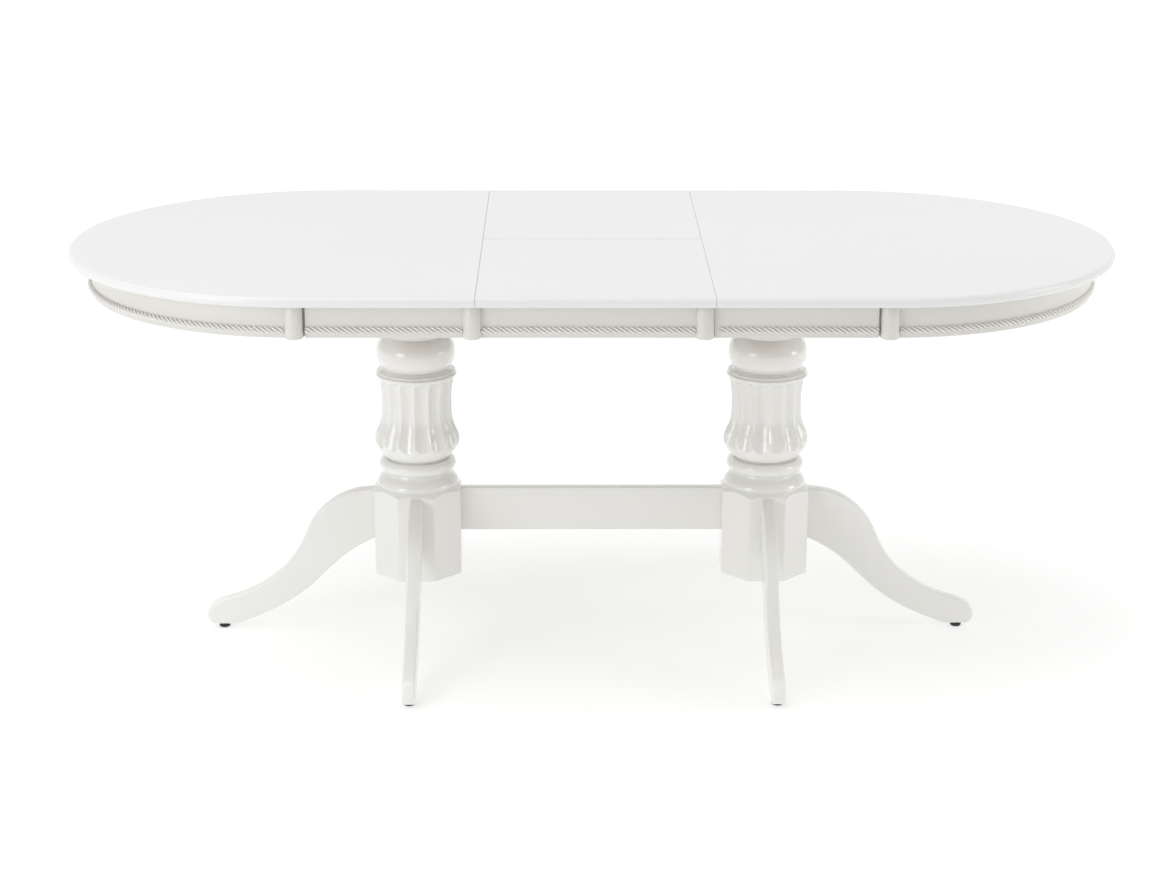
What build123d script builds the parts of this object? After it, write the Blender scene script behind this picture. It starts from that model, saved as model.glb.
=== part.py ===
from build123d import *
import os
from math import sin, cos, radians, sqrt

# Extendable dining table, drawn extended with its folding leaf in place.
# Millimetres, +Z up, origin on the floor under the middle of the top.
# +X runs along the table, -Y is the front.

os.makedirs("parts", exist_ok=True)

# ---- driving dimensions -------------------------------------------------
LENGTH = 1900.0          # extended; 1500 closed
WIDTH = 900.0
HEIGHT = 760.0
TOP_T = 18.0             # board thickness
LEAF = 400.0             # leaf length along X
SEAM = 0.5               # gap between a half top and the leaf
FOLD_GAP = 0.5           # gap between the two halves of the leaf
NOSE_TOP = 8.0           # edge radius at the top of the boards
NOSE_BOT = 5.0           # edge radius at the underside

APRON_H = 60.0
APRON_T = 18.0
OVERHANG = 38.0          # board edge to apron face
ROPE_R = 6.0             # rope moulding radius
ROPE_Z = 695.7           # rope moulding centre height
POST_R = 15.5            # half-round posts

PED_X = 327.0            # pedestal axis
BLOCK_AF = 162.0         # octagonal block, across flats
BLOCK_Z0 = 120.0
BLOCK_Z1 = 283.0
COL_TOP = 672.0
LEG_T = 24.0
GLIDE_R = 10.5
GLIDE_H = 8.0
GLIDE_POS = 376.0        # glide centre from the pedestal axis
STR_T = 20.0             # stretcher board
STR_Z0, STR_Z1 = 199.0, 283.0

RAIL_X = 480.0
RAIL_Y0, RAIL_Y1 = 290.0, 318.0
RAIL_Z0, RAIL_Z1 = 697.0, 741.5
RUN_Y0, RUN_Y1 = 318.5, 346.0
RUN_Z0 = 700.0
RUN_X0, RUN_X1 = 230.0, 670.0
TONGUE_Z = 719.0
CLEAT_W, CLEAT_Y = 110.0, 330.0
BEAR_X0, BEAR_X1 = 200.0, 224.0
BEAR_Z0, BEAR_Z1 = 698.0, 738.0

PIN_R, PIN_Y, PIN_Z = 5.0, -112.5, 716.0   # leaf pivot pins
FOLD_Z = HEIGHT + 0.3    # fold axis, just above the top face
HINGE_X = 120.0          # concealed hinges at +-X
LINK_W = 14.0
LINK1 = (7.0, 9.2)       # inner arc link radii
LINK2 = (9.7, 11.9)      # outer arc link radii
LINK_A = 20.0            # link ends, degrees below the fold plane

# ---- derived ------------------------------------------------------------
HW = WIDTH / 2
HL = LENGTH / 2
END_X = HL - HW          # centre of the round ends
TOP_Z0 = HEIGHT - TOP_T
AP_Z0 = TOP_Z0 - APRON_H
AP_R = HW - OVERHANG     # apron outer face
AP_RI = AP_R - APRON_T
LH = LEAF / 2
XS = LH + SEAM / 2       # seam face of a half top
LX = LH - SEAM / 2       # end face of the leaf

# post centres: the seam posts stand a little to the left of their seams
POST_END_L, POST_END_R = -505.0, 495.0
POST_SEAM_L = -206.5     # on the left half, laps the seam by 9 mm
POST_LEAF = LX - 0.2 - POST_R  # on the leaf, flush with its right end


def box(x0, x1, y0, y1, z0, z1):
    return Pos((x0 + x1) / 2, (y0 + y1) / 2, (z0 + z1) / 2) * Box(
        abs(x1 - x0), abs(y1 - y0), abs(z1 - z0))


def rod(p, d, r, length):
    """Cylinder that starts at p and runs along the unit direction d."""
    pl = Plane(origin=p, z_dir=d)
    return pl * Pos(0, 0, length / 2) * Cylinder(r, length)


def screw(p, d, r, length, head_r, head_h, grow=0.0):
    """Screw whose head's outer face is at p and whose shank runs along d."""
    head = rod(p, d, head_r + grow, head_h + grow)
    shank = rod(p, d, r + grow, length + grow)
    return head + shank


def save(name, shape):
    solids = shape if isinstance(shape, list) else [shape]
    flat = []
    for s in solids:
        flat += list(s.solids())
    out = flat[0] if len(flat) == 1 else Compound(children=flat)
    export_step(out, os.path.join("parts", name + ".step"))


# ---- half tops ----------------------------------------------------------
def nose(board, keep):
    """Round the outer edges of a board; keep(edge) says which they are."""
    top = [e for e in board.edges() if abs(e.center().Z - HEIGHT) < 0.01 and keep(e)]
    board = fillet(top, NOSE_TOP)
    bot = [e for e in board.edges() if abs(e.center().Z - TOP_Z0) < 0.01 and keep(e)]
    return fillet(bot, NOSE_BOT)


def half_top(s):
    xs, xc = s * XS, s * END_X
    wire = [
        Line((xs, -HW), (xc, -HW)),
        ThreePointArc((xc, -HW), (s * HL, 0), (xc, HW)),
        Line((xc, HW), (xs, HW)),
        Line((xs, HW), (xs, -HW)),
    ]
    board = Pos(0, 0, TOP_Z0) * extrude(make_face(wire), TOP_T)
    return nose(board, lambda e: abs((e @ 0.5).X - xs) > 1)


def end_apron(s, x_end):
    """Bent end apron: half ring and short straight returns to x_end."""
    xc = s * END_X

    def disc(r, xe):
        return (Pos(xc + s * r / 2, 0) * Rectangle(r, 2 * r) & Pos(xc, 0) * Circle(r)) + \
            Pos((xc + xe) / 2, 0) * Rectangle(abs(xc - xe), 2 * r)

    sk = disc(AP_R, x_end) - disc(AP_RI, x_end - s * 5)
    return Pos(0, 0, AP_Z0) * extrude(sk, APRON_H)


def end_rope(s, x_end):
    ring = Pos(s * END_X, 0, ROPE_Z) * Torus(AP_R, ROPE_R)
    ring = ring - Pos(s * END_X, 0, ROPE_Z) * Cylinder(AP_R, 40)
    return ring & box(x_end, s * (HL + 10), -HW, HW, 600, 800)


def straight_rope(x0, x1, sy):
    c = Pos((x0 + x1) / 2, sy * AP_R, ROPE_Z) * Rot(0, 90, 0) * Cylinder(ROPE_R, x1 - x0)
    lo, hi = sorted((sy * AP_R, sy * (AP_R + 20)))
    return c & box(x0, x1, lo, hi, 600, 800)


def post(xc, sy):
    c = Pos(xc, sy * AP_R, (AP_Z0 + TOP_Z0 - 0.5) / 2) * Cylinder(POST_R, APRON_H - 0.5)
    lo, hi = sorted((sy * AP_R, sy * (AP_R + 30)))
    return c & box(xc - 30, xc + 30, lo, hi, 600, 800)


def straight_apron(x0, x1, sy):
    lo, hi = sorted((sy * AP_RI, sy * AP_R))
    return box(x0, x1, lo, hi, AP_Z0, TOP_Z0)


def runner(s, sy):
    x0, x1 = sorted((s * RUN_X0, s * RUN_X1))
    y0, y1 = sorted((sy * RUN_Y0, sy * RUN_Y1))
    t0, t1 = sorted((sy * (RUN_Y0 - 8.5), sy * (RUN_Y0 + 1)))
    return box(x0, x1, y0, y1, RUN_Z0, TOP_Z0) + box(x0, x1, t0, t1, TONGUE_Z - 5, TONGUE_Z + 5)


sides = {"left": -1, "right": 1}
fronts = {"front": -1, "rear": 1}

for sn, s in sides.items():
    board = half_top(s)
    pc = POST_END_L if s < 0 else POST_END_R
    inner = pc - s * POST_R                      # post side that faces the seam
    outer = pc + s * POST_R
    save(f"apron_end_{sn}", end_apron(s, inner))
    save(f"rope_end_{sn}", end_rope(s, outer + s * 0.5))
    seam_x = s * XS
    screws = []
    for fn, sy in fronts.items():
        a0 = inner - s * 4.0
        x0, x1 = sorted((a0, seam_x))
        save(f"apron_{sn}_{fn}", straight_apron(x0, x1, sy))
        # with the table closed the left seam post laps the right apron by 9 mm,
        # so the right rope starts beyond it
        r1 = POST_SEAM_L - POST_R - 0.3 if s < 0 else XS + 9.75
        x0, x1 = sorted((a0, r1))
        save(f"rope_{sn}_{fn}", straight_rope(x0, x1, sy))
        save(f"post_{sn}_end_{fn}", post(pc, sy))
        if s < 0:
            save(f"post_left_seam_{fn}", post(POST_SEAM_L, sy))
        run = runner(s, sy)
        ym = sy * (RUN_Y0 + RUN_Y1) / 2
        for xx in (290.0, 440.0, 610.0):
            p = (s * xx, ym, RUN_Z0)
            screws.append(screw(p, (0, 0, 1), 2.25, 54, 4.5, 3))
            cut = screw(p, (0, 0, 1), 2.25, 54, 4.5, 3, 0.1)
            run -= cut
            board -= cut
        save(f"runner_{sn}_{fn}", run)
    save(f"top_{sn}", board)
    save(f"runner_screws_{sn}", screws)

# ---- leaf ---------------------------------------------------------------
CUP_X, CUP_Y, CUP_Z0, CUP_Z1 = 26.0, 14.5, 746.5, 758.2


def sector(r0, r1, a0, a1, x0, x1):
    """Ring sector about the fold axis; degrees in the YZ plane, 0 is +Y."""
    def pt(r, a):
        return (r * cos(radians(a)), r * sin(radians(a)))
    am = (a0 + a1) / 2
    wire = [
        ThreePointArc(pt(r0, a0), pt(r0, am), pt(r0, a1)),
        Line(pt(r0, a1), pt(r1, a1)),
        ThreePointArc(pt(r1, a1), pt(r1, am), pt(r1, a0)),
        Line(pt(r1, a0), pt(r0, a0)),
    ]
    face = make_face(wire)
    # plane with local x = +Y, local y = +Z, normal = +X
    pl = Plane(origin=(x0, 0, FOLD_Z), x_dir=(0, 1, 0), z_dir=(1, 0, 0))
    return extrude(pl * face, x1 - x0)


leaf_boards, cups = {}, {}
for fn, sy in fronts.items():
    y0, y1 = sorted((sy * FOLD_GAP / 2, sy * HW))
    b = box(-LX, LX, y0, y1, TOP_Z0, HEIGHT)
    b = nose(b, lambda e: abs(e.center().Y - sy * HW) < 0.01)
    cc = []
    for hx in (-HINGE_X, HINGE_X):
        c0, c1 = sorted((sy * FOLD_GAP / 2, sy * CUP_Y))
        c = box(hx - CUP_X / 2, hx + CUP_X / 2, c0, c1, CUP_Z0, CUP_Z1)
        b -= box(hx - CUP_X / 2, hx + CUP_X / 2, c0, c1, CUP_Z0, CUP_Z1)
        if sy < 0:
            a0, a1 = -180 + LINK_A - 4, -80
        else:
            a0, a1 = -100, -LINK_A + 4
        c -= sector(LINK1[0] - 0.4, LINK2[1] + 0.4, a0, a1,
                    hx - LINK_W / 2 - 0.5, hx + LINK_W / 2 + 0.5)
        cc.append(c)
    cups[fn] = cc
    leaf_boards[fn] = b

links1 = [sector(*LINK1, -180 + LINK_A, -LINK_A, hx - LINK_W / 2, hx + LINK_W / 2)
          for hx in (-HINGE_X, HINGE_X)]
links2 = [sector(*LINK2, -180 + LINK_A, -LINK_A, hx - LINK_W / 2, hx + LINK_W / 2)
          for hx in (-HINGE_X, HINGE_X)]
save("hinge_links_inner", links1)
save("hinge_links_outer", links2)

LEAF_AP_X0 = POST_SEAM_L + POST_R + 0.5    # beside the post that laps the seam
for fn, sy in fronts.items():
    save(f"hinge_cups_{fn}", cups[fn])
    save(f"apron_leaf_{fn}", straight_apron(LEAF_AP_X0, LX, sy))
    save(f"post_leaf_{fn}", post(POST_LEAF, sy))
    save(f"rope_leaf_{fn}", straight_rope(LEAF_AP_X0, POST_LEAF - POST_R - 0.3, sy))

# pivot plates under the front half of the leaf, each with its pin; the pins
# end short of the leaf's own ends, so that the leaf lifts straight up
plates, plate_screws = [], []
bf = leaf_boards["front"]
for s in (-1, 1):
    x0, x1 = sorted((s * 138, s * 180))
    pl = box(x0, x1, PIN_Y - 30, PIN_Y + 30, TOP_Z0 - 3, TOP_Z0)
    l0, l1 = sorted((s * 177, s * 180))
    pl += box(l0, l1, PIN_Y - 14, PIN_Y + 14, PIN_Z, TOP_Z0 - 1)
    pl += rod((s * 177, PIN_Y, PIN_Z), (s, 0, 0), 14.0, 3)
    pl += rod((s * 178, PIN_Y, PIN_Z), (s, 0, 0), PIN_R, 21)
    for yy in (PIN_Y - 20, PIN_Y + 20):
        p = (s * 152, yy, TOP_Z0 - 6)
        plate_screws.append(screw(p, (0, 0, 1), 2.0, 17, 4.0, 3))
        pl -= rod(p, (0, 0, 1), 2.1, 17)
        bf -= rod(p, (0, 0, 1), 2.1, 17.1)
    plates.append(pl)
save("leaf_pivot_plates", plates)
save("leaf_plate_screws", plate_screws)
save("leaf_board_front", bf)
save("leaf_board_rear", leaf_boards["rear"])

# ---- pedestals ----------------------------------------------------------
def column():
    flare = [(87.8, BLOCK_Z1), (84.5, 285.6), (81.0, 288.6), (78.4, 291.6)]
    ovolo = [(76.8, 293.2), (76.2, 298.0), (73.6, 303.2), (69.5, 307.6), (64.6, 310.8), (61.2, 314.6), (60.2, 318.4)]
    vase = [(57.0, 345.0), (62.5, 348.5), (68.5, 354.5), (74.5, 363.5), (78.2, 373.0), (79.0, 380.5), (77.0, 390.5),
            (71.8, 402.0), (67.7, 414.5), (65.2, 430.0), (64.7, 448.0), (65.3, 470.0), (70.0, 499.0)]
    bulb = [(62.2, 517.0), (68.5, 527.0), (72.2, 539.0), (72.8, 548.0), (71.0, 560.0), (66.0, 571.0), (57.0, 581.0)]
    wire = [
        Line((0, BLOCK_Z0), (90, BLOCK_Z0)),
        Line((90, BLOCK_Z0), (90, BLOCK_Z1)),
        Line((90, BLOCK_Z1), flare[0]),
        Spline(*flare),
        Line(flare[-1], ovolo[0]),
        Spline(*ovolo),
        Line(ovolo[-1], (60.2, 320.3)),
        ThreePointArc((60.2, 320.3), (72.2, 331.8), (59.0, 343.2)),
        Line((59.0, 343.2), vase[0]),
        Spline(*vase),
        Line(vase[-1], (70.0, 502.0)),
        ThreePointArc((70.0, 502.0), (74.5, 507.0), (68.0, 512.0)),
        Line((68.0, 512.0), (62.2, 514.0)),
        Line((62.2, 514.0), bulb[0]),
        Spline(*bulb),
        Line(bulb[-1], (57.0, COL_TOP)),
        Line((57.0, COL_TOP), (0, COL_TOP)),
        Line((0, COL_TOP), (0, BLOCK_Z0)),
    ]
    face = Plane.XZ * make_face(wire)
    body = revolve(face, Axis.Z)
    circ = BLOCK_AF / 2 / cos(radians(22.5))
    prism = Pos(0, 0, BLOCK_Z0) * extrude(Rot(0, 0, 22.5) * RegularPolygon(circ, 8), COL_TOP)
    return body & prism


def leg():
    """Leg of the side that points to +X, from the pedestal axis at x = 0."""
    f = BLOCK_AF / 2
    up = [(f, 282.0), (112.0, 279.0), (141.0, 270.0), (163.5, 257.0), (183.5, 240.0), (198.5, 222.0),
          (209.5, 201.0), (219.5, 179.0), (232.0, 155.5), (247.5, 134.0), (267.5, 114.0), (290.0, 96.0),
          (313.0, 81.5), (336.0, 71.0), (360.0, 63.0), (382.0, 55.5), (398.0, 46.0), (406.0, 33.0)]
    lo = [(352.0, GLIDE_H), (334.0, 14.5), (312.0, 23.5), (285.0, 35.5), (260.0, 48.5), (235.0, 64.5),
          (212.5, 82.0), (190.0, 103.0), (167.5, 125.0), (145.0, 145.0), (125.0, 160.0), (105.5, 171.5), (f, 184.0)]
    wire = [
        Spline(*up),
        ThreePointArc((406.0, 33.0), (405.5, 19.0), (396.0, GLIDE_H)),
        Line((396.0, GLIDE_H), (352.0, GLIDE_H)),
        Spline(*lo),
        Line((f, 184.0), (f, 282.0)),
    ]
    face = Plane.XZ * make_face(wire)
    body = extrude(face, LEG_T / 2, both=True)
    try:
        es = [e for e in body.edges() if abs(abs(e.center().Y) - LEG_T / 2) < 0.01 and e.length > 60
              and abs((e @ 0.5).X - f) > 1]
        body = fillet(es, 4.0)
    except Exception:
        pass
    return body


def glide():
    g = Pos(0, 0, GLIDE_H / 2) * Cylinder(GLIDE_R, GLIDE_H)
    g = fillet([e for e in g.edges() if e.center().Z < 0.1], 3.0)
    return g + Pos(0, 0, GLIDE_H + 6 - 0.5) * Cylinder(2.0, 13)


def place(shape, px, ang):
    return Pos(px, 0, 0) * Rot(0, 0, ang) * shape


base_leg = leg()
base_leg -= Pos(GLIDE_POS, 0, GLIDE_H + 6) * Cylinder(2.1, 16)
for z in (262.0, 210.0):
    base_leg -= rod((50, 0, z), (1, 0, 0), 4.1, 62.2)
bolt_set = [rod((60, 0, z), (1, 0, 0), 4.0, 52) for z in (262.0, 210.0)]

bolts, glides = [], []
leg_angles = {"left": {"side": 180, "front": -90, "rear": 90},
              "right": {"side": 0, "front": -90, "rear": 90}}
stretcher = box(-PED_X + BLOCK_AF / 2, PED_X - BLOCK_AF / 2, -STR_T / 2, STR_T / 2, STR_Z0, STR_Z1)
for sn, s in sides.items():
    col = column()
    for z in (262.0, 210.0):
        for ang in (0, 90, 180, 270):
            col -= Rot(0, 0, ang) * rod((59.8, 0, z), (1, 0, 0), 4.1, 40)
    col = Pos(s * PED_X, 0, 0) * col
    for ln, ang in leg_angles[sn].items():
        save(f"leg_{sn}_{ln}", place(base_leg, s * PED_X, ang))
        bolts += [place(b, s * PED_X, ang) for b in bolt_set]
        glides.append(place(Pos(GLIDE_POS, 0, 0) * glide(), s * PED_X, ang))
    # stretcher bolts point to the middle of the table
    bolts += [place(b, s * PED_X, 0 if s < 0 else 180) for b in bolt_set]
    for z in (262.0, 210.0):
        stretcher -= place(rod((59.8, 0, z), (1, 0, 0), 4.1, 52.4), s * PED_X, 0 if s < 0 else 180)

    # cleat across the column top, bolted down into it
    cleat = box(s * PED_X - CLEAT_W / 2, s * PED_X + CLEAT_W / 2, -CLEAT_Y, CLEAT_Y, COL_TOP, RAIL_Z0)
    cleat = chamfer([e for e in cleat.edges() if abs(e.center().Z - COL_TOP) < 0.01
                     and abs(abs(e.center().Y) - CLEAT_Y) < 0.01], 12)
    cb = []
    for yy in (-34.0, 0.0, 34.0):
        p = (s * PED_X, yy, RAIL_Z0 - 3)
        cb.append(screw(p, (0, 0, -1), 4.0, 62, 7.0, 5))
        cut = screw(p, (0, 0, -1), 4.0, 62, 7.0, 5, 0.2) + rod((s * PED_X, yy, RAIL_Z0 + 1), (0, 0, -1), 7.2, 5)
        cleat -= cut
        col -= cut
    for sy in (-1, 1):
        for dx in (-32.0, 32.0):
            p = (s * PED_X + dx, sy * 304.0, COL_TOP)
            cleat -= screw(p, (0, 0, 1), 2.5, 48, 5.0, 3, 0.1)
    save(f"pedestal_{sn}", col)
    save(f"cleat_{sn}", cleat)
    sides_bolts = cb if s < 0 else sides_bolts + cb
save("cleat_bolts", sides_bolts)
save("base_bolts", bolts)
save("foot_glides", glides)
save("stretcher", stretcher)

# ---- slide frame --------------------------------------------------------
frame_screws = []
for fn, sy in fronts.items():
    y0, y1 = sorted((sy * RAIL_Y0, sy * RAIL_Y1))
    rail = box(-RAIL_X, RAIL_X, y0, y1, RAIL_Z0, RAIL_Z1)
    g0, g1 = sorted((sy * (RAIL_Y1 - 8.5), sy * (RAIL_Y1 + 1)))
    rail -= box(-RAIL_X - 1, RAIL_X + 1, g0, g1, TONGUE_Z - 5.5, TONGUE_Z + 5.5)
    for s in (-1, 1):
        for dx in (-32.0, 32.0):
            p = (s * PED_X + dx, sy * 304.0, COL_TOP)
            frame_screws.append(screw(p, (0, 0, 1), 2.5, 48, 5.0, 3))
            rail -= screw(p, (0, 0, 1), 2.5, 48, 5.0, 3, 0.1)
        for zz in (705.0, 731.5):
            p = (s * (BEAR_X0 + BEAR_X1) / 2, sy * RAIL_Y1, zz)
            frame_screws.append(screw(p, (0, -sy, 0), 2.5, 60, 4.5, 3))
            rail -= screw(p, (0, -sy, 0), 2.5, 60, 4.5, 3, 0.1)
    save(f"rail_{fn}", rail)

brackets = []
for sn, s in sides.items():
    x0, x1 = sorted((s * BEAR_X0, s * BEAR_X1))
    bearer = box(x0, x1, -RAIL_Y0, RAIL_Y0, BEAR_Z0, BEAR_Z1)
    for sy in (-1, 1):
        for zz in (705.0, 731.5):
            p = (s * (BEAR_X0 + BEAR_X1) / 2, sy * RAIL_Y1, zz)
            bearer -= screw(p, (0, -sy, 0), 2.5, 60, 4.5, 3, 0.1)
    # slotted steel bracket on the bearer's inner face
    b0, b1 = sorted((s * (BEAR_X0 - 5), s * BEAR_X0))
    br = box(b0, b1, PIN_Y - 32, PIN_Y + 32, 702, 736)
    br -= box(b0 - 1, b1 + 1, PIN_Y - 5.3, PIN_Y + 5.3, PIN_Z, 740)
    br -= rod((s * (BEAR_X0 - 6), PIN_Y, PIN_Z), (s, 0, 0), 5.3, 8)
    for yy in (PIN_Y - 22, PIN_Y + 22):
        p = (s * (BEAR_X0 - 7), yy, 719)
        sc = screw(p, (s, 0, 0), 2.0, 22, 4.0, 2)
        br -= rod(p, (s, 0, 0), 2.1, 10)
        bearer -= rod(p, (s, 0, 0), 2.1, 22.2)
        frame_screws.append(sc)
    brackets.append(br)
    save(f"bearer_{sn}", bearer)
save("leaf_brackets", brackets)
save("frame_screws", frame_screws)
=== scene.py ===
import math

import bpy
import numpy as np
from mathutils import Matrix, Vector


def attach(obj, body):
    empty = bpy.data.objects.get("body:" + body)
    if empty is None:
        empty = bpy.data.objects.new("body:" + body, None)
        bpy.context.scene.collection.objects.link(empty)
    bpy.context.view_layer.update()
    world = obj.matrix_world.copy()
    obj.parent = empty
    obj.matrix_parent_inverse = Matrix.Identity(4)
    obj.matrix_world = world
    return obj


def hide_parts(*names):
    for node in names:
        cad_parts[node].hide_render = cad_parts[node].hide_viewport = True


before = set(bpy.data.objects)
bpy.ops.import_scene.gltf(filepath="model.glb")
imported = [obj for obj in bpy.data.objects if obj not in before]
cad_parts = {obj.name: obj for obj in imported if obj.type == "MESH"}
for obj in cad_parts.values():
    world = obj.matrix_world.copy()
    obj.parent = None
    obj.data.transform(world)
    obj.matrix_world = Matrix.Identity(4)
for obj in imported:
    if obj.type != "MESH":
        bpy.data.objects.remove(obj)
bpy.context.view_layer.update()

scene = bpy.context.scene
MM = 0.001

# ------------------------------------------------------------------ numbers
# the part's own dimensions, in millimetres
HEIGHT, TOP_T = 760.0, 18.0
TOP_Z0 = HEIGHT - TOP_T
HW, HL, END_X = 450.0, 950.0, 500.0
AP_R, AP_T, AP_Z0 = 412.0, 18.0, 682.0
AP_RI = AP_R - AP_T
ROPE_R, ROPE_Z = 6.0, 695.7
POST_R = 15.5
PED_X, AF, BLOCK_Z0, BLOCK_Z1, COL_TOP = 327.0, 162.0, 120.0, 283.0, 672.0
LEG_T, GLIDE_R, GLIDE_H, GLIDE_POS = 24.0, 10.5, 8.0, 376.0
STR_T, STR_Z0, STR_Z1 = 20.0, 199.0, 283.0
XS, LX = 200.25, 199.75
POST_END = {"left": -505.0, "right": 495.0}
POST_SEAM_L = -206.5
POST_LEAF = LX - 0.2 - POST_R
LEAF_AP_X0 = POST_SEAM_L + POST_R + 0.1


# ---------------------------------------------------------------- mesh code
def make(name, verts, faces, mat, body, replaces=(), sharp=38.0):
    """A closed mesh from millimetre points, riding on its body."""
    me = bpy.data.meshes.new(name)
    me.from_pydata([tuple(v) for v in (np.asarray(verts, float) * MM)], [], faces)
    me.validate()
    me.update()
    ob = bpy.data.objects.new(name, me)
    scene.collection.objects.link(ob)
    bm_fix_normals(me)
    me.shade_smooth()
    me.set_sharp_from_angle(angle=math.radians(sharp))
    me.materials.append(mat)
    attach(ob, body)
    if replaces:
        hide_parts(*replaces)
    return ob


def ease(ob, width):
    """Small rounded break on the sharp edges, as a finisher leaves them."""
    mod = ob.modifiers.new("eased_edges", "BEVEL")
    mod.width = width * MM
    mod.segments = 2
    mod.limit_method = "ANGLE"
    mod.angle_limit = math.radians(50)
    return ob


def bm_fix_normals(me):
    import bmesh

    bm = bmesh.new()
    bm.from_mesh(me)
    bmesh.ops.recalc_face_normals(bm, faces=bm.faces)
    bm.to_mesh(me)
    bm.free()


def spline(points, per=8):
    """Natural cubic spline through points, by chord length."""
    p = np.asarray(points, float)
    t = np.concatenate([[0], np.cumsum(np.linalg.norm(np.diff(p, axis=0), axis=1))])
    n = len(p)
    h = np.diff(t)
    a = np.zeros((n, n))
    rhs = np.zeros((n, p.shape[1]))
    a[0, 0] = a[-1, -1] = 1
    for i in range(1, n - 1):
        a[i, i - 1], a[i, i], a[i, i + 1] = h[i - 1], 2 * (h[i - 1] + h[i]), h[i]
        rhs[i] = 6 * ((p[i + 1] - p[i]) / h[i] - (p[i] - p[i - 1]) / h[i - 1])
    m = np.linalg.solve(a, rhs)
    out = []
    for i in range(n - 1):
        for k in range(per):
            u = k / per * h[i]
            v = h[i] - u
            out.append(
                (m[i] * v**3 + m[i + 1] * u**3) / (6 * h[i])
                + (p[i] / h[i] - m[i] * h[i] / 6) * v
                + (p[i + 1] / h[i] - m[i + 1] * h[i] / 6) * u
            )
    out.append(p[-1])
    return np.array(out)


def arc3(a, b, c, n):
    """Points from a to c on the circle through a, b and c."""
    a, b, c = (np.array(q, float) for q in (a, b, c))
    m = np.array([b - a, c - b])
    rhs = np.array([(b @ b - a @ a) / 2, (c @ c - b @ b) / 2])
    o = np.linalg.solve(m, rhs)
    r = np.linalg.norm(a - o)
    t0, t1, t2 = (math.atan2(q[1] - o[1], q[0] - o[0]) for q in (a, b, c))
    while t1 - t0 > math.pi:
        t1 -= 2 * math.pi
    while t1 - t0 < -math.pi:
        t1 += 2 * math.pi
    while t2 - t1 > math.pi:
        t2 -= 2 * math.pi
    while t2 - t1 < -math.pi:
        t2 += 2 * math.pi
    tt = np.linspace(t0, t2, n + 1)
    return np.stack([o[0] + r * np.cos(tt), o[1] + r * np.sin(tt)], 1)


def grid(rows, closed_u=True, caps=True):
    """Quads between rows of equal length, with n-gon caps on the first and last."""
    n = len(rows[0])
    verts = np.concatenate(rows)
    faces = []
    for i in range(len(rows) - 1):
        a, b = i * n, (i + 1) * n
        for j in range(n if closed_u else n - 1):
            k = (j + 1) % n
            faces.append((a + j, a + k, b + k, b + j))
    if caps:
        faces.append(tuple(range(n - 1, -1, -1)))
        last = (len(rows) - 1) * n
        faces.append(tuple(range(last, last + n)))
    return verts, faces


def round_rect(u0, u1, v0, v1, radii, seg=5):
    """Rounded rectangle, radii at (u0v0, u1v0, u1v1, u0v1), counter-clockwise."""
    out = []
    corners = [(u0, v0, 180), (u1, v0, 270), (u1, v1, 0), (u0, v1, 90)]
    for (u, v, a0), r in zip(corners, radii):
        if r <= 0:
            out.append((u, v))
            continue
        cu = u + r if u == u0 else u - r
        cv = v + r if v == v0 else v - r
        for k in range(seg + 1):
            a = math.radians(a0 + 90 * k / seg)
            out.append((cu + r * math.cos(a), cv + r * math.sin(a)))
    return np.array(out)


def sweep(path, section):
    """Section (outward, up) carried along a path of (point, outward) in plan."""
    rows = []
    for (p, n) in path:
        row = np.zeros((len(section), 3))
        row[:, 0] = p[0] + n[0] * section[:, 0]
        row[:, 1] = p[1] + n[1] * section[:, 0]
        row[:, 2] = section[:, 1]
        rows.append(row)
    return grid(rows)


def straight_path(x0, x1, sy, step):
    """Along a long side, so that the outward side is on the right of travel."""
    n = max(1, int(round(abs(x1 - x0) / step)))
    xs = np.linspace(x0, x1, n + 1) if sy < 0 else np.linspace(x1, x0, n + 1)
    return [((x, sy * AP_R), (0.0, float(sy))) for x in xs]


def end_path(s, x_end, step):
    """Round a bent end, from one post to the other, with straight returns."""
    xc = s * END_X
    pts = []
    back = (x_end - xc) * s
    if back < 0:
        n = max(1, int(round(-back / step)))
        pts += [((xc + s * back * (1 - k / n), -AP_R), (0.0, -1.0)) for k in range(n)]
        a0 = 0.0
    else:
        a0 = math.asin(min(1.0, back / AP_R))
    length = (math.pi - 2 * a0) * AP_R
    n = int(round(length / step))
    for k in range(n + 1):
        a = a0 + (math.pi - 2 * a0) * k / n
        d = (s * math.sin(a), -math.cos(a))
        pts.append(((xc + AP_R * d[0], AP_R * d[1]), d))
    if back < 0:
        n = max(1, int(round(-back / step)))
        pts += [((xc + s * back * (k + 1) / n, AP_R), (0.0, 1.0)) for k in range(n)]
    return pts if s > 0 else pts[::-1]


# ----------------------------------------------------------------- materials
def nodes_of(name):
    m = bpy.data.materials.new(name)
    m.use_nodes = True
    nt = m.node_tree
    for n in list(nt.nodes):
        nt.nodes.remove(n)
    out = nt.nodes.new("ShaderNodeOutputMaterial")
    bsdf = nt.nodes.new("ShaderNodeBsdfPrincipled")
    nt.links.new(bsdf.outputs[0], out.inputs[0])
    tc = nt.nodes.new("ShaderNodeTexCoord")
    return m, nt, bsdf, tc.outputs["Object"]


def mapping(nt, src, scale, rot=(0, 0, 0)):
    mp = nt.nodes.new("ShaderNodeMapping")
    mp.inputs["Scale"].default_value = scale
    mp.inputs["Rotation"].default_value = rot
    nt.links.new(src, mp.inputs["Vector"])
    return mp.outputs[0]


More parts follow.
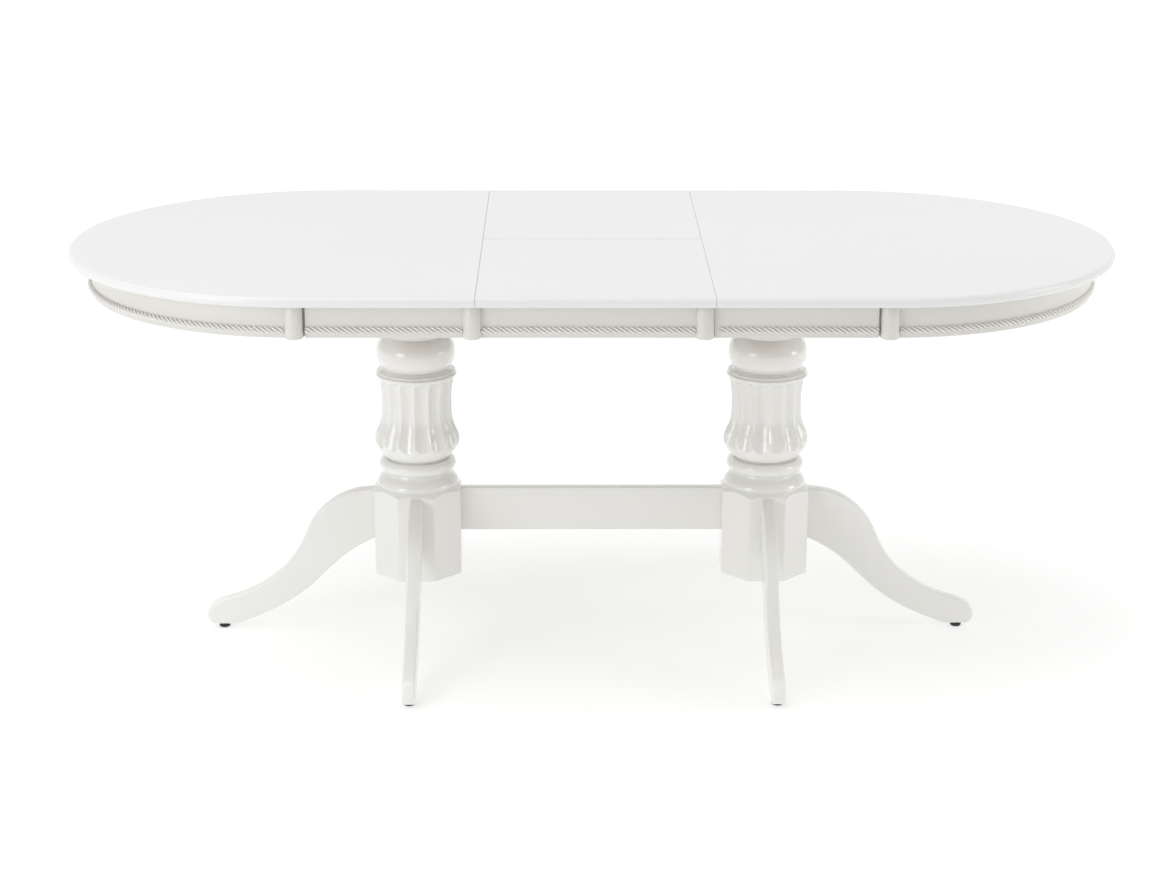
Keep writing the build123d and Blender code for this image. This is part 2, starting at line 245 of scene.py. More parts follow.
def noise(nt, vec, scale, detail=3.0, rough=0.5, distortion=0.0):
    n = nt.nodes.new("ShaderNodeTexNoise")
    n.inputs["Scale"].default_value = scale
    n.inputs["Detail"].default_value = detail
    n.inputs["Roughness"].default_value = rough
    n.inputs["Distortion"].default_value = distortion
    nt.links.new(vec, n.inputs["Vector"])
    return n.outputs["Fac"]


def ramp(nt, fac, stops):
    r = nt.nodes.new("ShaderNodeValToRGB")
    e = r.color_ramp.elements
    while len(e) > 1:
        e.remove(e[-1])
    e[0].position, e[0].color = stops[0][0], (*stops[0][1], 1)
    for pos, col in stops[1:]:
        k = e.new(pos)
        k.color = (*col, 1)
    nt.links.new(fac, r.inputs["Fac"])
    return r.outputs["Color"]


def remap(nt, fac, a, b, lo=0.0, hi=1.0):
    r = nt.nodes.new("ShaderNodeMapRange")
    r.inputs["From Min"].default_value = lo
    r.inputs["From Max"].default_value = hi
    r.inputs["To Min"].default_value = a
    r.inputs["To Max"].default_value = b
    nt.links.new(fac, r.inputs["Value"])
    return r.outputs["Result"]


def add(nt, a, b, kind="ADD"):
    m = nt.nodes.new("ShaderNodeMath")
    m.operation = kind
    for i, v in enumerate((a, b)):
        if isinstance(v, (int, float)):
            m.inputs[i].default_value = v
        else:
            nt.links.new(v, m.inputs[i])
    return m.outputs[0]


def mix(nt, fac, a, b):
    m = nt.nodes.new("ShaderNodeMix")
    m.data_type = "RGBA"
    nt.links.new(fac, m.inputs["Factor"])
    for i, v in ((6, a), (7, b)):
        if isinstance(v, tuple):
            m.inputs[i].default_value = (*v, 1)
        else:
            nt.links.new(v, m.inputs[i])
    return m.outputs[2]


def bump(nt, bsdf, height, strength, distance, target="Normal"):
    b = nt.nodes.new("ShaderNodeBump")
    b.inputs["Strength"].default_value = strength
    b.inputs["Distance"].default_value = distance
    nt.links.new(height, b.inputs["Height"])
    nt.links.new(b.outputs[0], bsdf.inputs[target])


def lacquer(name, light, shade, rough, coat, coat_rough, peel, grain=(0.0, 0.0, 0.0), crevice_shade=0.35, crevice_shade_tone=0.86):
    """Sprayed white lacquer: faint clouding, orange peel, grain telegraphing, and painted shade darkening its
    crevices.
    """
    m, nt, bsdf, obj = nodes_of(name)
    cloud = noise(nt, obj, 3.2, 1.0, 0.4)
    col = mix(nt, remap(nt, cloud, 0.0, 1.0, 0.2, 0.8), shade, light)
    geo = nt.nodes.new("ShaderNodeNewGeometry")
    # painted shade: the colour goes darker where Pointiness is low, in hollows, creases, flutes and seams, standing in
    # for the shade that falls there
    crevice_shade_mask = remap(nt, geo.outputs["Pointiness"], crevice_shade, 0.0, 0.42, 0.5)
    crevice_shade_col = tuple(c * crevice_shade_tone for c in shade)
    col = mix(nt, crevice_shade_mask, col, crevice_shade_col)
    nt.links.new(col, bsdf.inputs["Base Color"])
    fine = noise(nt, obj, 620.0, 2.0, 0.5)
    smear = noise(nt, obj, 24.0, 4.0, 0.6)
    r = add(nt, remap(nt, smear, rough - 0.025, rough + 0.025, 0.3, 0.7), remap(nt, fine, -0.012, 0.012))
    nt.links.new(r, bsdf.inputs["Roughness"])
    h = noise(nt, obj, 420.0, 2.0, 0.45)
    if any(grain):
        g = noise(nt, mapping(nt, obj, grain), 1.0, 5.0, 0.6)
        h = add(nt, add(nt, h, 0.55, "MULTIPLY"), add(nt, g, 0.45, "MULTIPLY"))
    bump(nt, bsdf, h, peel, 0.0006)
    bsdf.inputs["IOR"].default_value = 1.5
    bsdf.inputs["Coat Weight"].default_value = coat
    bsdf.inputs["Coat Roughness"].default_value = coat_rough
    bsdf.inputs["Coat IOR"].default_value = 1.5
    return m


TOP_L, TOP_S = (0.775, 0.776, 0.773), (0.762, 0.763, 0.761)
# apron and posts: a warmer white, and set darker than the base as painted shade standing in for the shadow the top's
# overhang casts on them
APR_L, APR_S = (0.70, 0.686, 0.648), (0.682, 0.668, 0.63)
BAS_L, BAS_S = (0.86, 0.853, 0.82), (0.84, 0.832, 0.80)
M = {}
# the last two numbers set the painted crevice shade: its strength, and its darkest tone as a fraction of the shade
# colour (strong on the rope and the flutes)
M["top"] = lacquer("white_top_lacquer", TOP_L, TOP_S, 0.36, 0.2, 0.14, 0.018, (14.0, 190.0, 60.0), 0.12)
M["apron"] = lacquer("white_apron_lacquer", APR_L, APR_S, 0.36, 0.25, 0.14, 0.018, (16.0, 16.0, 150.0), 0.25)
M["rope"] = lacquer("white_rope_lacquer", (0.80, 0.788, 0.755), APR_L, 0.30, 0.4, 0.10, 0.03, (0, 0, 0), 0.95, 0.42)
M["base"] = lacquer("white_base_lacquer", BAS_L, BAS_S, 0.22, 0.7, 0.05, 0.014, (120.0, 120.0, 18.0), 0.5, 0.74)
M["leg"] = lacquer("white_leg_lacquer", BAS_L, (0.852, 0.845, 0.812), 0.32, 0.5, 0.08, 0.012, (30.0, 30.0, 90.0), 0.0)


def wood(name, axis):
    m, nt, bsdf, obj = nodes_of(name)
    sc = [85.0, 85.0, 85.0]
    sc[axis] = 4.0
    warp = noise(nt, mapping(nt, obj, tuple(s * 0.12 for s in sc)), 1.0, 3.0, 0.5)
    fib = noise(nt, mapping(nt, obj, tuple(sc)), 1.6, 6.0, 0.62, 0.6)
    sc2 = [900.0, 900.0, 900.0]
    sc2[axis] = 60.0
    fleck = noise(nt, mapping(nt, obj, tuple(sc2)), 1.0, 2.0, 0.5)
    col = ramp(nt, fib, [(0.28, (0.34, 0.265, 0.195)), (0.46, (0.42, 0.345, 0.265)), (0.62, (0.48, 0.40, 0.315)), (0.8, (0.53, 0.45, 0.365))])
    col = mix(nt, remap(nt, warp, 0.0, 0.35, 0.35, 0.7), col, (0.37, 0.295, 0.22))
    col = mix(nt, remap(nt, fleck, 0.55, 0.0, 0.26, 0.42), col, (0.25, 0.185, 0.13))
    nt.links.new(col, bsdf.inputs["Base Color"])
    nt.links.new(remap(nt, fib, 0.46, 0.60, 0.3, 0.7), bsdf.inputs["Roughness"])
    bump(nt, bsdf, add(nt, add(nt, fib, 0.6, "MULTIPLY"), add(nt, fleck, 0.4, "MULTIPLY")), 0.28, 0.0005)
    bsdf.inputs["IOR"].default_value = 1.48
    return m


M["beech_x"] = wood("beech_along_x", 0)
M["beech_y"] = wood("beech_along_y", 1)


def metal(name, a, b, rough, brush, axis_scale):
    m, nt, bsdf, obj = nodes_of(name)
    spangle = noise(nt, obj, 210.0, 3.0, 0.6)
    line = noise(nt, mapping(nt, obj, axis_scale), 1.0, 3.0, 0.55)
    col = mix(nt, remap(nt, spangle, 0.0, 1.0, 0.3, 0.7), a, b)
    tarnish = noise(nt, obj, 26.0, 4.0, 0.6)
    col = mix(nt, remap(nt, tarnish, 0.0, 0.35, 0.52, 0.8), col, tuple(c * 0.62 for c in b))
    nt.links.new(col, bsdf.inputs["Base Color"])
    r = add(nt, remap(nt, tarnish, rough - 0.05, rough + 0.08, 0.3, 0.7), remap(nt, line, -0.05, 0.05, 0.3, 0.7))
    nt.links.new(r, bsdf.inputs["Roughness"])
    bump(nt, bsdf, line, brush, 0.0002)
    bsdf.inputs["Metallic"].default_value = 1.0
    return m


M["steel"] = metal("zinc_plated_steel", (0.62, 0.64, 0.66), (0.50, 0.52, 0.55), 0.33, 0.15, (900.0, 900.0, 120.0))
M["bracket"] = metal("pressed_steel", (0.56, 0.57, 0.58), (0.44, 0.45, 0.47), 0.40, 0.22, (90.0, 90.0, 1400.0))
M["brass"] = metal("satin_brass", (0.72, 0.52, 0.22), (0.60, 0.42, 0.17), 0.30, 0.20, (60.0, 1500.0, 1500.0))


def plastic(name):
    m, nt, bsdf, obj = nodes_of(name)
    n1 = noise(nt, obj, 60.0, 3.0, 0.55)
    nt.links.new(mix(nt, remap(nt, n1, 0.0, 1.0, 0.3, 0.7), (0.012, 0.012, 0.013), (0.022, 0.022, 0.024)), bsdf.inputs["Base Color"])
    n2 = noise(nt, obj, 1800.0, 2.0, 0.5)
    nt.links.new(remap(nt, n2, 0.38, 0.50, 0.3, 0.7), bsdf.inputs["Roughness"])
    bump(nt, bsdf, n2, 0.2, 0.0002)
    return m


M["black"] = plastic("black_moulded_plastic")


# --------------------------------------------------------------- half tops
def board_outline(s):
    """Outer edge of a half top, counter-clockwise, from one seam corner round."""
    pts, nor = [], []
    xc = s * END_X
    n_st, n_arc = 6, 150
    for k in range(n_st):
        pts.append((s * XS + (xc - s * XS) * k / n_st, -HW))
        nor.append((0.0, -1.0))
    for k in range(n_arc + 1):
        a = math.pi * k / n_arc
        d = (s * math.sin(a), -math.cos(a))
        pts.append((xc + (HW - 0.13) * d[0], HW * d[1]))
        nor.append(d)
    for k in range(1, n_st + 1):
        pts.append((xc + (s * XS - xc) * k / n_st, HW))
        nor.append((0.0, 1.0))
    return np.array(pts), np.array(nor)


def nose_profile(r_top=8.0, r_bot=7.5, seg=9):
    """(inset, z) from the underside round the nose to the top face."""
    out = []
    for k in range(seg - 2):
        a = math.pi / 2 * k / (seg - 3)
        out.append((r_bot * (1 - math.sin(a)), TOP_Z0 + r_bot * (1 - math.cos(a))))
    for k in range(seg + 1):
        a = math.pi / 2 * k / seg
        out.append((r_top * (1 - math.cos(a)), HEIGHT - r_top * (1 - math.sin(a))))
    return out


def half_top(s):
    pts, nor = board_outline(s)
    rows = []
    for inset, z in nose_profile():
        row = np.zeros((len(pts), 3))
        row[:, :2] = pts - nor * inset
        row[:, 2] = z
        rows.append(row)
    n = len(pts)
    verts = np.concatenate(rows)
    faces = []
    for i in range(len(rows) - 1):
        for j in range(n - 1):
            faces.append((i * n + j, i * n + j + 1, (i + 1) * n + j + 1, (i + 1) * n + j))
    # seam face, underside and top face
    m = len(rows)
    faces.append(tuple([i * n for i in range(m)] + [i * n + n - 1 for i in range(m - 1, -1, -1)]))
    faces.append(tuple(range(n)))
    faces.append(tuple(range((m - 1) * n, m * n)))
    return verts, faces


for sn, s in (("left", -1), ("right", 1)):
    v, f = half_top(s)
    ease(make(f"board_{sn}", v, f, M["top"], f"{sn}_top", [f"top_{sn}"], 30), 0.6)

# the two halves of the leaf, each with pockets for its hinge cups
FOLD_GAP, HINGE_X = 0.5, 120.0
CUP_X, CUP_Y, CUP_Z0, CUP_Z1 = 26.0, 14.5, 746.5, 758.2


def pocketed(verts, faces, boxes):
    """The mesh with closed boxes cut out of it."""
    def raw(name, vv, ff):
        me = bpy.data.meshes.new(name)
        me.from_pydata([tuple(q) for q in np.asarray(vv, float)], [], ff)
        bm_fix_normals(me)
        ob = bpy.data.objects.new(name, me)
        scene.collection.objects.link(ob)
        return ob

    work = raw("work", verts, faces)
    tools = []
    for b0, b1 in boxes:
        vv = [(x, y, z) for x in (b0[0], b1[0]) for y in (b0[1], b1[1]) for z in (b0[2], b1[2])]
        ff = [(0, 1, 3, 2), (4, 6, 7, 5), (0, 4, 5, 1), (2, 3, 7, 6), (0, 2, 6, 4), (1, 5, 7, 3)]
        tools.append(raw("tool", vv, ff))
        mod = work.modifiers.new("pocket", "BOOLEAN")
        mod.operation, mod.solver, mod.object = "DIFFERENCE", "EXACT", tools[-1]
    dg = bpy.context.evaluated_depsgraph_get()
    me = bpy.data.meshes.new_from_object(work.evaluated_get(dg))
    out = ([tuple(v.co) for v in me.vertices], [tuple(p.vertices) for p in me.polygons])
    for o in [work] + tools:
        bpy.data.objects.remove(o)
    bpy.data.meshes.remove(me)
    return out


for fn, sy in (("front", -1), ("rear", 1)):
    sec = [(HW - inset, z) for inset, z in nose_profile()]
    sec += [(FOLD_GAP / 2 + 1.1, HEIGHT), (FOLD_GAP / 2 + 0.9, HEIGHT - 1.5), (FOLD_GAP / 2, HEIGHT - 1.6), (FOLD_GAP / 2, TOP_Z0)]
    rows = []
    for x in np.linspace(-LX, LX, 5):
        rows.append(np.array([(x, sy * y, z) for y, z in sec]))
    v, f = grid(rows)
    boxes = []
    for hx in (-HINGE_X, HINGE_X):
        y0, y1 = sorted((sy * (FOLD_GAP / 2 - 2.0), sy * CUP_Y))
        boxes.append(((hx - CUP_X / 2, y0, CUP_Z0), (hx + CUP_X / 2, y1, CUP_Z1)))
    v, f = pocketed(v, f, boxes)
    ease(make(f"leaf_half_{fn}", v, f, M["top"], f"leaf_{fn}", [f"leaf_board_{fn}"], 30), 0.6)

# ------------------------------------------------------------------- aprons
apron_section = round_rect(-AP_T, 0.0, AP_Z0, TOP_Z0, (1.2, 1.4, 0.0, 0.0), 4)


def apron(name, path, body, node):
    v, f = sweep(path, apron_section)
    make(name, v, f, M["apron"], body, [node], 40)


for sn, s in (("left", -1), ("right", 1)):
    inner = POST_END[sn] - s * POST_R
    seam = s * XS
    apron(f"bent_apron_{sn}", end_path(s, inner, 6.0), f"{sn}_top", f"apron_end_{sn}")
    for fn, sy in (("front", -1), ("rear", 1)):
        x0, x1 = sorted((inner - s * 4.0, seam))
        path = straight_path(x0, x1, sy, 300.0)
        # the joint beside the outer post: its end stands back from the face
        joint = [((x, sy * (AP_R - 9.0)), (0.0, float(sy))) for x in (inner - s * 0.1, inner - s * 3.3, inner - s * 3.9)]
        joint[2] = ((joint[2][0][0], sy * (AP_R - 0.8)), joint[2][1])
        if s * sy > 0:
            path = path + joint[::-1] if s < 0 else joint + path
        else:
            path = joint + path if s < 0 else path + joint[::-1]
        apron(f"straight_apron_{sn}_{fn}", path, f"{sn}_top", f"apron_{sn}_{fn}")
for fn, sy in (("front", -1), ("rear", 1)):
    apron(f"leaf_apron_{fn}", straight_path(LEAF_AP_X0, LX, sy, 400.0), f"leaf_{fn}", f"apron_leaf_{fn}")

# ------------------------------------------------------------ rope mouldings
LEAD, STRAND_R, STRAND_D = 40.0, 2.52, 3.48
_psi = np.radians(np.linspace(-90.0, 90.0, 29))


def rope(name, path, body, node):
    rows, dist, last = [], 0.0, None
    for (p, n) in path:
        if last is not None:
            dist += math.hypot(p[0] - last[0], p[1] - last[1])
        last = p
        turn = -2 * math.pi * dist / LEAD
        a = (_psi - turn + math.pi / 4) % (math.pi / 2) - math.pi / 4
        r = STRAND_D * np.cos(a) + np.sqrt(np.maximum(STRAND_R**2 - (STRAND_D * np.sin(a)) ** 2, 0.0))
        out = np.maximum(r * np.cos(_psi), 0.0)
        up = r * np.sin(_psi)
        row = np.zeros((len(_psi), 3))
        row[:, 0] = p[0] + n[0] * out
        row[:, 1] = p[1] + n[1] * out
        row[:, 2] = ROPE_Z + up
        rows.append(row)
    v, f = grid(rows)
    make(name, v, f, M["rope"], body, [node], 55)


STEP = 1.25
for sn, s in (("left", -1), ("right", 1)):
    inner = POST_END[sn] - s * POST_R
    outer = POST_END[sn] + s * POST_R
    rope(f"rope_bent_{sn}", end_path(s, outer + s * 0.5, STEP), f"{sn}_top", f"rope_end_{sn}")
    far = POST_SEAM_L - POST_R - 0.3 if s < 0 else XS + 9.75
    for fn, sy in (("front", -1), ("rear", 1)):
        x0, x1 = sorted((inner - s * 4.0, far))
        rope(f"rope_straight_{sn}_{fn}", straight_path(x0, x1, sy, STEP), f"{sn}_top", f"rope_{sn}_{fn}")
for fn, sy in (("front", -1), ("rear", 1)):
    rope(f"rope_on_leaf_{fn}", straight_path(LEAF_AP_X0, POST_LEAF - POST_R - 0.3, sy, STEP), f"leaf_{fn}", f"rope_leaf_{fn}")


# -------------------------------------------------------------------- posts
def post(name, xc, sy, body, node):
    ang = np.radians(np.linspace(0.0, 180.0, 33))
    rows = []
    prof = [(1.8 * (1 - math.sin(a)), AP_Z0 + 1.8 * (1 - math.cos(a))) for a in np.linspace(0, math.pi / 2, 5)]
    prof += [(0.0, 700.0), (0.0, 720.0), (0.0, TOP_Z0 - 1.1), (0.6, TOP_Z0 - 0.5)]
    for inset, z in prof:
        r = POST_R - inset
        row = np.zeros((len(ang), 3))
        row[:, 0] = xc + r * np.cos(ang)
        row[:, 1] = sy * (AP_R + r * np.sin(ang))
        row[:, 2] = z
        rows.append(row)
    v, f = grid(rows)
    make(name, v, f, M["apron"], body, [node], 50)


for fn, sy in (("front", -1), ("rear", 1)):
    for sn in ("left", "right"):
        post(f"half_post_{sn}_end_{fn}", POST_END[sn], sy, f"{sn}_top", f"post_{sn}_end_{fn}")
    post(f"half_post_left_seam_{fn}", POST_SEAM_L, sy, "left_top", f"post_left_seam_{fn}")
    post(f"half_post_leaf_{fn}", POST_LEAF, sy, f"leaf_{fn}", f"post_leaf_{fn}")

# ---------------------------------------------------------------- pedestals
FLARE = [(87.8, BLOCK_Z1), (84.5, 285.6), (81.0, 288.6), (78.4, 291.6)]
OVOLO = [(76.8, 293.2), (76.2, 298.0), (73.6, 303.2), (69.5, 307.6), (64.6, 310.8), (61.2, 314.6), (60.2, 318.4)]
VASE = [(57.0, 345.0), (62.5, 348.5), (68.5, 354.5), (74.5, 363.5), (78.2, 373.0), (79.0, 380.5), (77.0, 390.5),
        (71.8, 402.0), (67.7, 414.5), (65.2, 430.0), (64.7, 448.0), (65.3, 470.0), (70.0, 499.0)]
BULB = [(62.6, 518.5), (68.5, 527.0), (72.6, 538.5), (73.4, 548.5), (71.6, 560.5), (66.0, 571.5), (57.0, 581.0)]
FLUTES, FLUTE_D, FLUTE_Z0, FLUTE_Z1 = 16, 5.6, 369.5, 500.5


def column_profile():
    vase = spline(VASE, 12)
    rims = [(71.6, 500.6), (73.6, 501.8), (75.0, 503.8), (75.3, 506.0), (74.4, 507.8), (72.6, 508.7), (71.6, 509.2),
            (72.2, 509.9), (73.2, 510.9), (73.2, 512.2), (72.2, 513.1), (70.4, 513.5), (67.6, 514.0), (65.0, 515.2), (63.2, 516.8)]
    parts = [
        spline(OVOLO, 6),
        arc3((60.2, 320.3), (72.2, 331.8), (59.0, 343.2), 22),
        np.array([(57.2, 343.8)]),
        vase,
        spline(rims, 2),
        spline(BULB, 8),
        np.array([(57.0, 583.0), (57.0, 640.0), (57.0, COL_TOP)]),
    ]
    return np.concatenate(parts)


def thetas():
    base = np.radians(np.arange(384) * 360.0 / 384)
    extra = []
    for k in range(8):
        c = 22.5 + 45.0 * k
        extra += [c - 0.76, c - 0.5, c - 0.25, c + 0.25, c + 0.5, c + 0.76]
    return np.unique(np.concatenate([base, np.radians(extra)]))


def octagon(th, rho=3.0):
    """Radius of the eased octagon; faces square to the axes."""
    a = AF / 2
    d = (th + math.pi / 8) % (math.pi / 4) - math.pi / 8      # from the face's normal
    flat = a / np.cos(d)
    e = math.pi / 8 - np.abs(d)                                # from the corner
    c = (a - rho) / math.cos(math.pi / 8)
    lim = math.atan2(rho * math.sin(math.pi / 8), c + rho * math.cos(math.pi / 8))
    rnd = c * np.cos(e) + np.sqrt(np.maximum(rho**2 - (c * np.sin(e)) ** 2, 0))
    return np.where(e < lim, rnd, flat)


def pedestal(name, px, body, node):
    th = thetas()
    oc = octagon(th)
    flare = spline(FLARE, 12)                                  # outside to inside
    rows = []

    def ring(r, z):
        row = np.zeros((len(th), 3))
        row[:, 0] = px + r * np.cos(th)
        row[:, 1] = r * np.sin(th)
        row[:, 2] = z
        rows.append(row)

    for a in np.linspace(0, math.pi / 2, 5):                   # eased lower edge
        ring(oc - 2.0 * (1 - math.sin(a)), BLOCK_Z0 + 2.0 * (1 - math.cos(a)))
    # where the flare meets each side of the octagon
    rr, zz = flare[:, 0], flare[:, 1]
    tpar = np.arange(len(flare), dtype=float)
    t_hit = np.interp(-oc, -rr, tpar)
    z_hit = np.interp(t_hit, tpar, zz)
    for z in (160.0, 200.0, 240.0, 270.0):
        ring(oc, z + 0 * oc)
    ring(oc, z_hit - 1.4)
    ring(oc - 0.1, z_hit - 0.7)
    t_in = t_hit + 0.8
    ring(oc - 0.45, z_hit - 0.12)
    for k in range(0, 25):
        t = t_in + (tpar[-1] - t_in) * k / 24
        ring(np.interp(t, tpar, rr), np.interp(t, tpar, zz))
    # flutes: ridges at every 22.5 degrees, one of them at the front
    cell = 2 * math.pi / FLUTES
    u = (th % cell) / cell * 2 - 1                             # -1..1 across a flute
    for r, z in column_profile():
        w = 0.0
        if FLUTE_Z0 < z < FLUTE_Z1:
            lo = min(1.0, (z - FLUTE_Z0) / 17.0)
            hi = min(1.0, (FLUTE_Z1 - z) / 7.0)
            w = math.sqrt(max(0.0, 1 - (1 - lo) ** 2)) * math.sqrt(max(0.0, 1 - (1 - hi) ** 2))
        d = FLUTE_D * np.maximum(0.0, w * w - u * u) * (r / 72.0)
        ring(r - d, z + 0 * th)
    v, f = grid(rows)
    make(name, v, f, M["base"], body, [node], 42)


for sn, s in (("left", -1), ("right", 1)):
    pedestal(f"turned_pedestal_{sn}", s * PED_X, "base", f"pedestal_{sn}")


# --------------------------------------------------------------------- legs
LEG_UP = [(81.0, 282.0), (112.0, 279.0), (141.0, 270.0), (163.5, 257.0), (183.5, 240.0), (198.5, 222.0),
          (209.5, 201.0), (219.5, 179.0), (232.0, 155.5), (247.5, 134.0), (267.5, 114.0), (290.0, 96.0),
          (313.0, 81.5), (336.0, 71.0), (360.0, 63.0), (382.0, 55.5), (398.0, 46.0), (406.0, 33.0)]
LEG_LO = [(352.0, GLIDE_H), (334.0, 14.5), (312.0, 23.5), (285.0, 35.5), (260.0, 48.5), (235.0, 64.5),
          (212.5, 82.0), (190.0, 103.0), (167.5, 125.0), (145.0, 145.0), (125.0, 160.0), (105.5, 171.5), (81.0, 184.0)]


def leg(name, px, ang, node):
    up = spline(LEG_UP, 6)
    toe = arc3((406.0, 33.0), (405.5, 19.0), (396.0, GLIDE_H), 10)[1:]
    lo = spline(LEG_LO, 6)
    out = np.concatenate([up, toe, np.array([(385.0, GLIDE_H), (370.0, GLIDE_H)]), lo])
    n = len(out)
    # inward normals of the clockwise outline; the end at the block stays flat
    tan = np.zeros_like(out)
    tan[1:-1] = out[2:] - out[:-2]
    tan[0], tan[-1] = out[1] - out[0], out[-1] - out[-2]
    tan /= np.linalg.norm(tan, axis=1)[:, None]
    nor = np.stack([tan[:, 1], -tan[:, 0]], 1)
    nor[0], nor[-1] = (0.0, -1.0), (0.0, 1.0)
    c, s_ = math.cos(math.radians(ang)), math.sin(math.radians(ang))
    rho, half = 4.5, LEG_T / 2
    prof = [(rho * (1 - math.sin(a)), -half + rho * (1 - math.cos(a))) for a in np.linspace(0, math.pi / 2, 7)]
    prof += [(i, -y) for i, y in prof[::-1]]
    rows = []
    for inset, y in prof:
        q = out + nor * inset
        q[:, 1] = np.maximum(q[:, 1], GLIDE_H)
        row = np.zeros((n, 3))
        row[:, 0] = px + q[:, 0] * c - y * s_
        row[:, 1] = q[:, 0] * s_ + y * c
        row[:, 2] = q[:, 1]
        rows.append(row)
    v, f = grid(rows)
    make(name, v, f, M["leg"], "base", [node], 35)


ANG = {"left": {"side": 180, "front": -90, "rear": 90}, "right": {"side": 0, "front": -90, "rear": 90}}
for sn, s in (("left", -1), ("right", 1)):
    for ln, a in ANG[sn].items():
        leg(f"curved_leg_{sn}_{ln}", s * PED_X, a, f"leg_{sn}_{ln}")

# ---------------------------------------------------------------- stretcher
sec = round_rect(-STR_T / 2, STR_T / 2, STR_Z0, STR_Z1, (2.5, 2.5, 2.5, 2.5), 5)
x_end = PED_X - AF / 2
rows = []
for x in np.linspace(-x_end, x_end, 9):
    row = np.zeros((len(sec), 3))
    row[:, 0], row[:, 1], row[:, 2] = x, sec[:, 0], sec[:, 1]
    rows.append(row)
v, f = grid(rows)
make("stretcher_board", v, f, M["leg"], "base", ["stretcher"], 40)

# -------------------------------------------------------------------- glides
gv, gf = [], []
prof = [(0.0, 0.0), (4.5, 0.0)] + [(7.0 + 3.5 * math.sin(a), 3.5 - 3.5 * math.cos(a)) for a in np.linspace(0, math.pi / 2, 8)]
prof += [(10.5, 5.6), (10.3, 6.6), (9.6, 7.4), (8.6, 7.9), (7.4, GLIDE_H), (0.0, GLIDE_H)]
for sn, s in (("left", -1), ("right", 1)):
    for ln, a in ANG[sn].items():
        cx = s * PED_X + GLIDE_POS * math.cos(math.radians(a))
        cy = GLIDE_POS * math.sin(math.radians(a))
        start = len(gv)
        t = np.linspace(0, 2 * math.pi, 40, endpoint=False)
        gv.append((cx, cy, prof[0][1]))
        for r, z in prof[1:-1]:
            gv += [(cx + r * math.cos(q), cy + r * math.sin(q), z) for q in t]
        gv.append((cx, cy, prof[-1][1]))
        m = len(prof) - 2
        for j in range(40):
            k = (j + 1) % 40
            gf.append((start, start + 1 + k, start + 1 + j))
            for i in range(m - 1):
                b = start + 1 + i * 40
                gf.append((b + j, b + k, b + 40 + k, b + 40 + j))
            b = start + 1 + (m - 1) * 40
            gf.append((b + j, b + k, len(gv) - 1))
make("foot_glide_set", gv, gf, M["black"], "base", ["foot_glides"], 50)

# ------------------------------------------------- materials on the CAD nodes
for n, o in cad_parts.items():
    if o.hide_render:
        continue
    if n.startswith("leaf_board"):
        mat, slot = M["top"], "white_top"
    elif n.startswith("cleat_bolts") or "screws" in n or "bolts" in n:
        mat, slot = M["steel"], "fastener_steel"
    elif n in ("leaf_brackets", "leaf_pivot_plates"):
        mat, slot = M["bracket"], "bracket_steel"
    elif n.startswith("hinge"):
        mat, slot = M["brass"], "hinge_brass"
    elif n.startswith(("cleat", "bearer")):
        mat, slot = M["beech_y"], "beech"
    else:
        mat, slot = M["beech_x"], "beech"
    if not o.material_slots:
        o.data.materials.append(mat)
    for ms in o.material_slots:
        ms.material = mat

# ----------------------------------------------------------- floor and light
me = bpy.data.meshes.new("floor")
me.from_pydata([(-30, -14, 0), (30, -14, 0), (30, 40, 0), (-30, 40, 0)], [], [(0, 1, 2, 3)])
floor = bpy.data.objects.new("floor", me)
scene.collection.objects.link(floor)
fm, nt, bsdf, obj = nodes_of("studio_floor")
bsdf.inputs["Base Color"].default_value = (0.50, 0.50, 0.497, 1)
bsdf.inputs["Roughness"].default_value = 0.9
bsdf.inputs["Specular IOR Level"].default_value = 0.1
bsdf.inputs["Emission Color"].default_value = (1.0, 1.0, 1.0, 1)
bsdf.inputs["Emission Strength"].default_value = 0.54
me.materials.append(fm)

world = bpy.data.worlds.new("studio")
world.use_nodes = True
wt = world.node_tree
bg = wt.nodes["Background"]
wtc = wt.nodes.new("ShaderNodeTexCoord")
sep = wt.nodes.new("ShaderNodeSeparateXYZ")
wt.links.new(wtc.outputs["Generated"], sep.inputs[0])
up = wt.nodes.new("ShaderNodeMapRange")
up.inputs["From Min"].default_value = 0.0
up.inputs["From Max"].default_value = 1.0
up.inputs["To Min"].default_value = 0.26
up.inputs["To Max"].default_value = 0.90
wt.links.new(sep.outputs["Z"], up.inputs["Value"])
back = wt.nodes.new("ShaderNodeMapRange")
back.inputs["From Min"].default_value = -0.1
back.inputs["From Max"].default_value = 0.9
back.inputs["To Min"].default_value = 0.0
back.inputs["To Max"].default_value = 1.0
wt.links.new(sep.outputs["Y"], back.inputs["Value"])
lit = wt.nodes.new("ShaderNodeMath")
lit.operation = "MAXIMUM"
wt.links.new(up.outputs["Result"], lit.inputs[0])
wt.links.new(back.outputs["Result"], lit.inputs[1])
cam_ray = wt.nodes.new("ShaderNodeLightPath")
seen = wt.nodes.new("ShaderNodeMath")
seen.operation = "MAXIMUM"
wt.links.new(lit.outputs[0], seen.inputs[0])
wt.links.new(cam_ray.outputs["Is Camera Ray"], seen.inputs[1])
bg.inputs[0].default_value = (1.0, 1.0, 1.0, 1)
wt.links.new(seen.outputs[0], bg.inputs[1])
scene.world = world


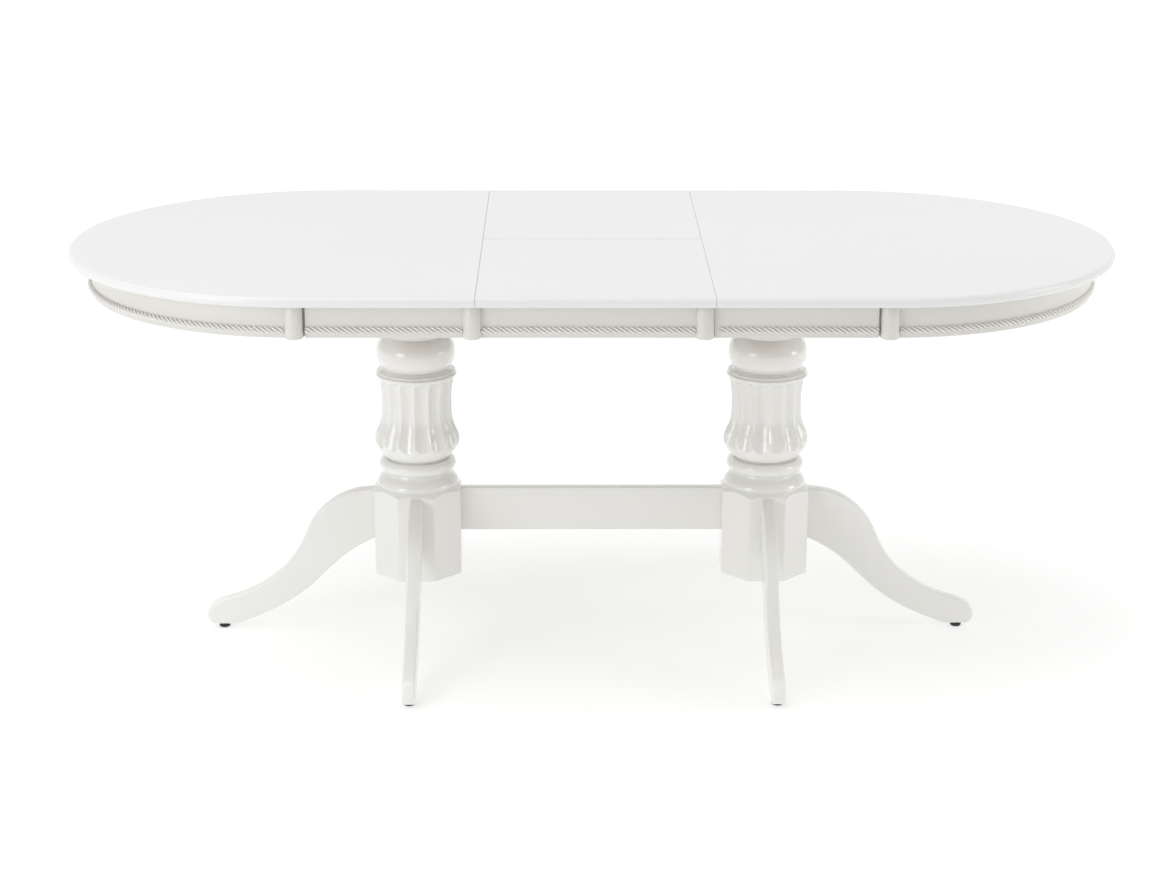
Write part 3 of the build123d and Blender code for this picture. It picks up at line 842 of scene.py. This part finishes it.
def look_at(ob, p, target):
    ob.location = p
    d = Vector(target) - Vector(p)
    ob.rotation_mode = "QUATERNION"
    ob.rotation_quaternion = d.to_track_quat("-Z", "Y")


def area(name, p, target, sx, sy, power, col=(1, 1, 1)):
    l = bpy.data.lights.new(name, "AREA")
    l.shape = "RECTANGLE"
    l.size, l.size_y = sx, sy
    l.energy = power
    l.color = col
    o = bpy.data.objects.new(name, l)
    scene.collection.objects.link(o)
    look_at(o, p, target)
    return o


def sun(name, direction, strength, angle, col=(1, 1, 1)):
    l = bpy.data.lights.new(name, "SUN")
    l.energy = strength
    l.angle = math.radians(angle)
    l.color = col
    o = bpy.data.objects.new(name, l)
    scene.collection.objects.link(o)
    look_at(o, (-direction[0] * 5, -direction[1] * 5, -direction[2] * 5), (0, 0, 0))
    return o


sun("key", (0.38, 0.08, -1.0), 0.95, 40)
area("softbox_left", (-2.6, -2.5, 1.35), (0, 0, 0.5), 1.5, 1.7, 30, (0.98, 0.99, 1.0))
area("softbox_right", (3.6, -0.7, 1.3), (0, 0, 0.5), 1.2, 1.5, 22, (1.0, 0.995, 0.98))

# ------------------------------------------------------------------- camera
cam_data = bpy.data.cameras.new("camera")
cam_data.sensor_width = 36.0
cam_data.sensor_fit = "HORIZONTAL"
cam_data.lens = 36.0 * 2406.71 / 1174.0
cam_data.clip_end = 100.0
cam = bpy.data.objects.new("camera", cam_data)
scene.collection.objects.link(cam)
yaw, pitch, roll = (math.radians(a) for a in (0.683, 17.4056, 0.1801))
fwd = Vector((math.sin(yaw) * math.cos(pitch), math.cos(yaw) * math.cos(pitch), -math.sin(pitch)))
right = Vector((math.cos(yaw), -math.sin(yaw), 0.0))
upv = right.cross(fwd)
r2 = right * math.cos(roll) + upv * math.sin(roll)
u2 = -right * math.sin(roll) + upv * math.cos(roll)
cam.matrix_world = Matrix.Translation((-0.0599, -4.3154, 1.7258)) @ Matrix((
    (r2[0], u2[0], -fwd[0]), (r2[1], u2[1], -fwd[1]), (r2[2], u2[2], -fwd[2]))).to_4x4()
scene.camera = cam

scene.view_settings.view_transform = "Standard"
scene.view_settings.look = "None"
